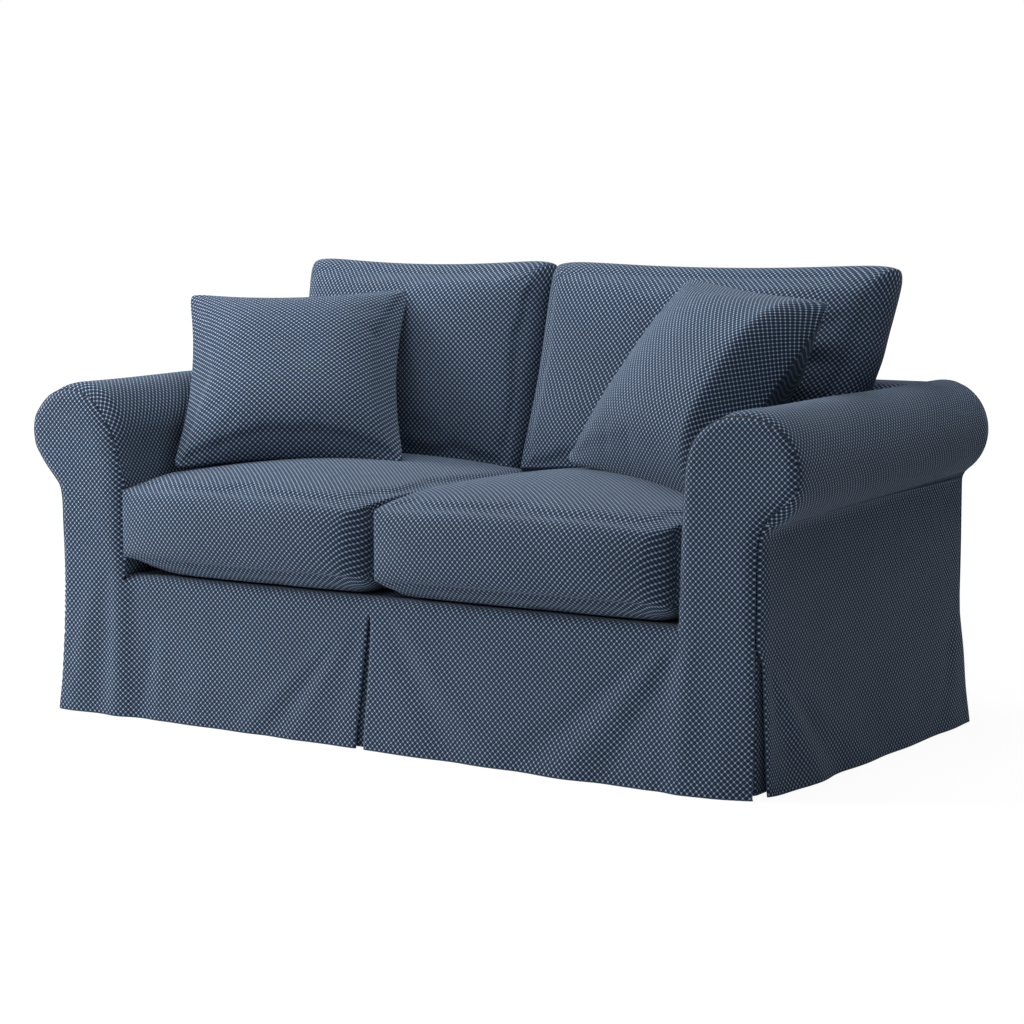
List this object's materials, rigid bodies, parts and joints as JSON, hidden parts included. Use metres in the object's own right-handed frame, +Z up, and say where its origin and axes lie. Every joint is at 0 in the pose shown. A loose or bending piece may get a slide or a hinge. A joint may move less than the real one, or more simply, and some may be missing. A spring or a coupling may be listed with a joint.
{
  "type": "sofa slipcover with its cushion covers and throw pillows",
  "caption": "Fitted roll-arm sofa slipcover in diamond-weave cloth with kick pleats, filled seat and back cushions and matching throw pillows.",
  "frame": {"origin": "on the floor, under the middle of the cover", "axes": "+X along the sofa to the right as one faces its front, +Y from front to back, +Z up"},
  "size_m": [1.718, 0.9352, 0.8955],
  "materials": {
    "cover_cloth": "matt woven cotton, navy ground with a pale blue diamond dot weave",
    "piping_cloth": "matt woven cotton over a thin cord",
    "cushion_cloth": "matt woven cotton, navy ground with a pale blue diamond dot weave"
  },
  "bodies": {
    "root": {"deck": "cover_cloth", "front_border": "cover_cloth", "inside_back": "cover_cloth", "outside_back": "cover_cloth", "arm_front_left": "cover_cloth", "arm_front_right": "cover_cloth", "arm_panel_left": "cover_cloth", "arm_panel_right": "cover_cloth", "outside_arm_left": "cover_cloth", "outside_arm_right": "cover_cloth", "welt_left": "piping_cloth", "welt_right": "piping_cloth", "pleat_centre": "cover_cloth", "pleat_front_left": "cover_cloth", "pleat_front_right": "cover_cloth", "pleat_back_left": "cover_cloth", "pleat_back_right": "cover_cloth", "seat_cushion_left": "cushion_cloth", "seat_cushion_right": "cushion_cloth", "back_cushion_left": "cushion_cloth", "back_cushion_right": "cushion_cloth", "pillow_left": "cushion_cloth", "pillow_right": "cushion_cloth"}
  },
  "joints": []
}
